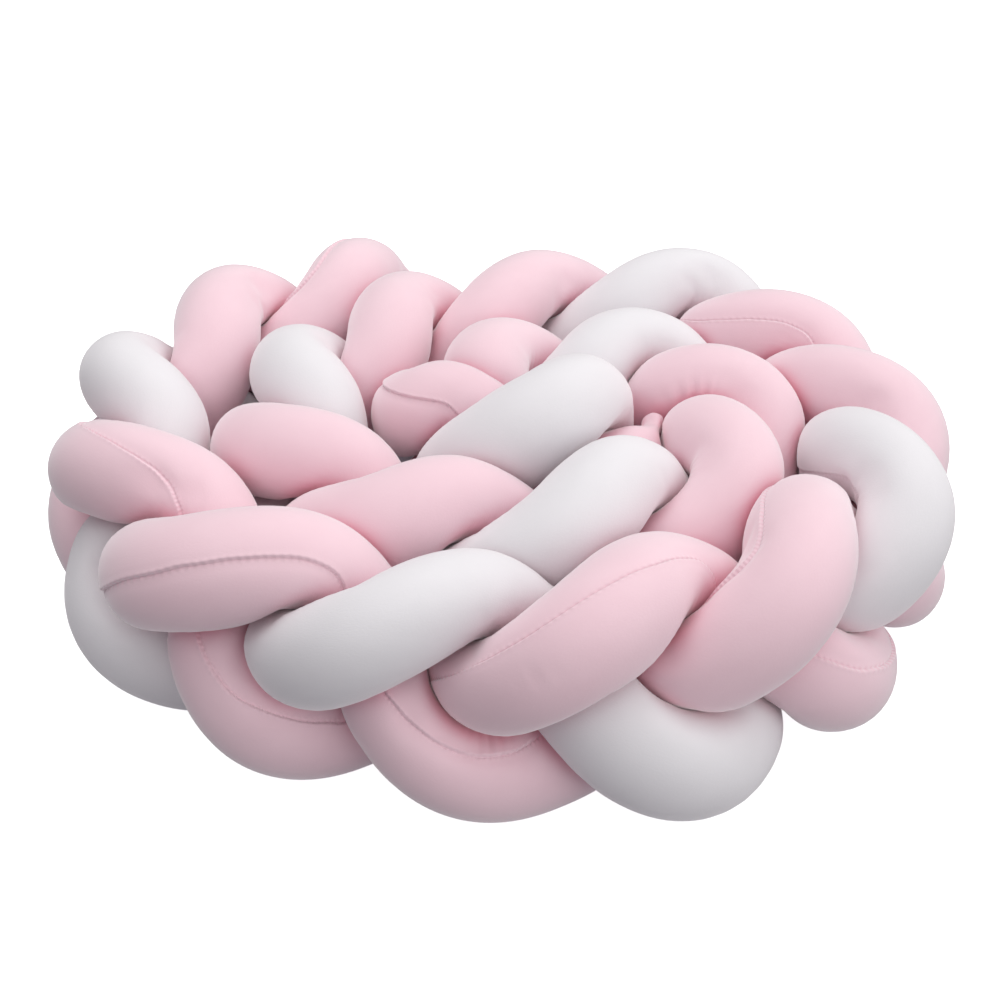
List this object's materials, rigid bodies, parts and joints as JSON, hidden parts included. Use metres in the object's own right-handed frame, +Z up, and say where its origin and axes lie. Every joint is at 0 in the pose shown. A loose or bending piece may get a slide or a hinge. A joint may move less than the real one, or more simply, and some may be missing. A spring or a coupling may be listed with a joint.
{
  "type": "braided crib bumper",
  "caption": "Plaited bumper of stuffed pink and white cloth tubes, coiled on its edge, to line the inside of a crib.",
  "frame": {"origin": "on the floor under the middle of the coil's bounding box", "axes": "+Z up; -Y towards the front of the coil, where the outer turn runs past the viewer; +X to the right"},
  "size_m": [0.5856, 0.5154, 0.1737],
  "materials": {
    "white_cloth": "matte brushed knit",
    "pink_cloth": "matte brushed knit"
  },
  "bodies": {
    "root": {"white_tube": "white_cloth", "pink_tube_a": "pink_cloth", "pink_tube_b": "pink_cloth"}
  },
  "joints": []
}
